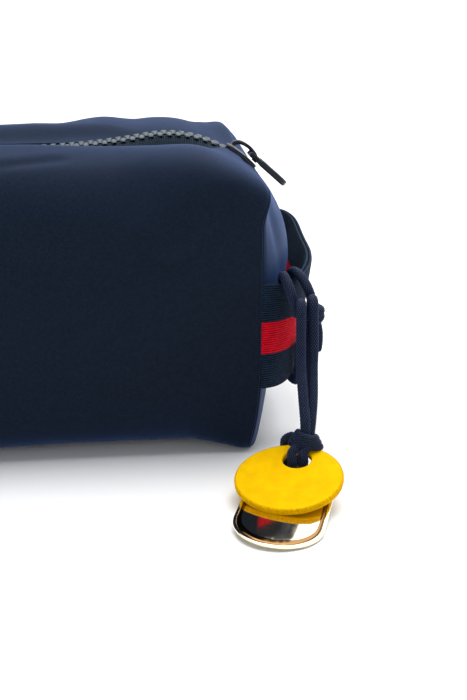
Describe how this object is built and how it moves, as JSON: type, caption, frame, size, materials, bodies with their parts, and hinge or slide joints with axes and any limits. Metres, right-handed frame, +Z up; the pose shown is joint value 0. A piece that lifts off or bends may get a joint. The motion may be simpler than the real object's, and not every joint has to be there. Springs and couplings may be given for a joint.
{
  "type": "shaving kit bag",
  "caption": "Soft boxy zip-top kit bag with a side webbing strap and a cord lanyard that carries a leather disc and a metal tag.",
  "frame": {"origin": "centre of the flat base, on the table", "axes": "+X along the bag towards the strap, -Y out of the front, +Z up"},
  "size_m": [0.2924, 0.1863, 0.105],
  "materials": {
    "cloth": "satin",
    "lining": "matte",
    "binding": "matte",
    "zip_tape": "matte",
    "zip_teeth": "gloss",
    "slider": "satin",
    "webbing": "matte",
    "cord": "matte",
    "leather": "matte",
    "gold": "polished"
  },
  "bodies": {
    "bag": {"outer_front_panel": "cloth", "outer_back_panel": "cloth", "outer_base_panel": "cloth", "outer_right_end_panel": "cloth", "outer_left_end_panel": "cloth", "lining_front_panel": "lining", "lining_back_panel": "lining", "lining_base_panel": "lining", "lining_right_end_panel": "lining", "lining_left_end_panel": "lining", "seam_binding_right_front": "binding", "seam_binding_right_back": "binding", "seam_binding_left_front": "binding", "seam_binding_left_back": "binding", "zipper_tape_front": "zip_tape", "zipper_tape_back": "zip_tape", "zipper_teeth_front": "zip_teeth", "zipper_teeth_back": "zip_teeth", "zipper_bottom_stop": "zip_teeth", "zipper_top_stop_front": "zip_teeth", "zipper_top_stop_back": "zip_teeth", "strap_outer_webbing": "webbing", "strap_inner_webbing": "webbing", "cord_loop_front": "cord", "cord_loop_rear": "cord"},
    "slider": {"zipper_slider": "slider", "zipper_slider_crown": "slider"},
    "pull": {"zipper_pull": "slider"},
    "lanyard": {"cord_strand_left": "cord", "cord_strand_right": "cord", "cord_strand_middle": "cord", "upper_knot": "cord", "upper_knot_tail": "cord", "lower_knot": "cord", "cord_eye_left": "cord", "cord_eye_right": "cord"},
    "disc": {"leather_disc": "leather"},
    "tag": {"metal_tag": "gold"}
  },
  "joints": [
    {"name": "slider_travel", "type": "hinge", "parent": "bag", "child": "slider", "pos_m": [0.098, 0, 0.061], "axis": [0, 1, 0], "range_deg": [-39, 16]},
    {"name": "pull_swing", "type": "hinge", "parent": "slider", "child": "pull", "pos_m": [0.12916, 0, 0.09567], "axis": [0, 1, 0], "range_deg": [-130, 4]},
    {"name": "lanyard_swing", "type": "hinge", "parent": "bag", "child": "lanyard", "pos_m": [0.14, -0.0615, 0.0555], "axis": [-1, 0, 0], "range_deg": [-8, 80]},
    {"name": "disc_turn", "type": "hinge", "parent": "lanyard", "child": "disc", "pos_m": [0.1332, -0.0875, 0.0088], "axis": [-0.0896, -0.1838, 0.9789], "range_deg": [-14, 35]},
    {"name": "tag_turn", "type": "hinge", "parent": "lanyard", "child": "tag", "pos_m": [0.1326, -0.0885, 0.004], "axis": [-0.031, -0.0852, 0.9959], "range_deg": [-35, 35]}
  ]
}
